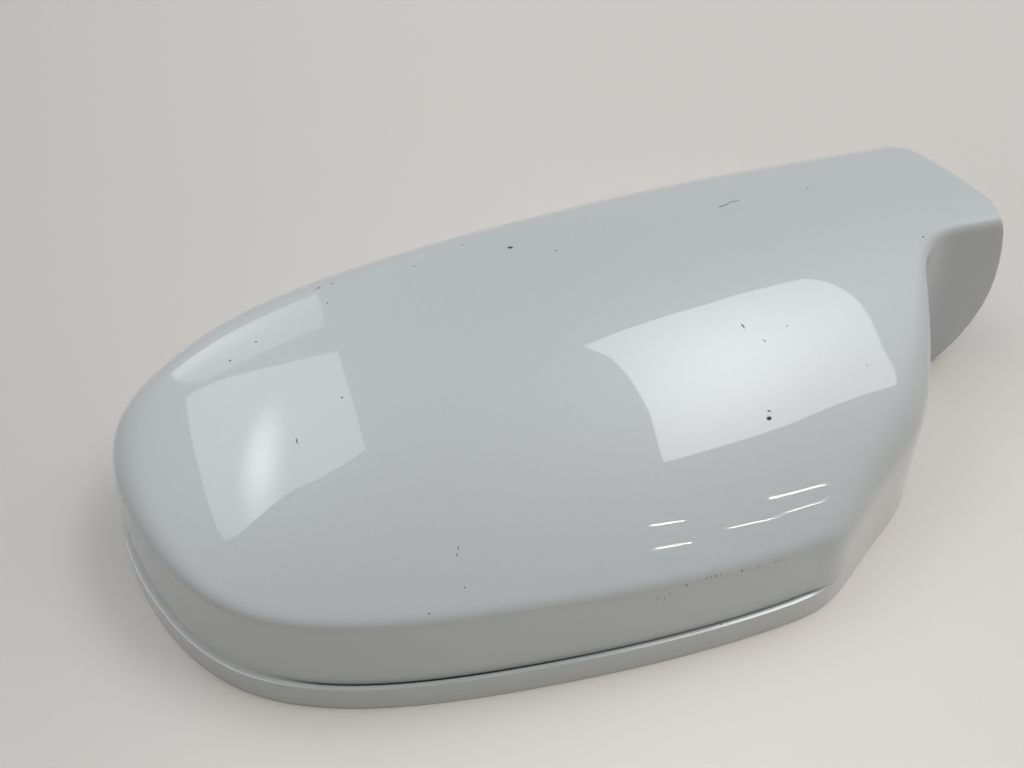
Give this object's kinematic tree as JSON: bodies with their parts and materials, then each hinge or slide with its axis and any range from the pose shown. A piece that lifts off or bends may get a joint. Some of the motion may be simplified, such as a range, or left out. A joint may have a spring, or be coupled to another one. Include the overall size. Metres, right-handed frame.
{
  "type": "wing mirror cover",
  "caption": "Rounded one-piece shell that clips over the back of a car's wing mirror, with a ledged skirt and an open hood over the mirror's arm.",
  "frame": {"origin": "middle of the cover's footprint, on the plane of its rim", "axes": "+X from the rounded outer end to the hood over the arm, +Y from the creased side to the side that rolls over, +Z from the open rim to the crown"},
  "size_m": [0.2446, 0.1215, 0.0564],
  "materials": {
    "painted_shell": "light silver lacquer with a clear coat, small chips and scratches, on moulded ABS"
  },
  "bodies": {
    "root": {"mirror_cover": "painted_shell"}
  },
  "joints": []
}
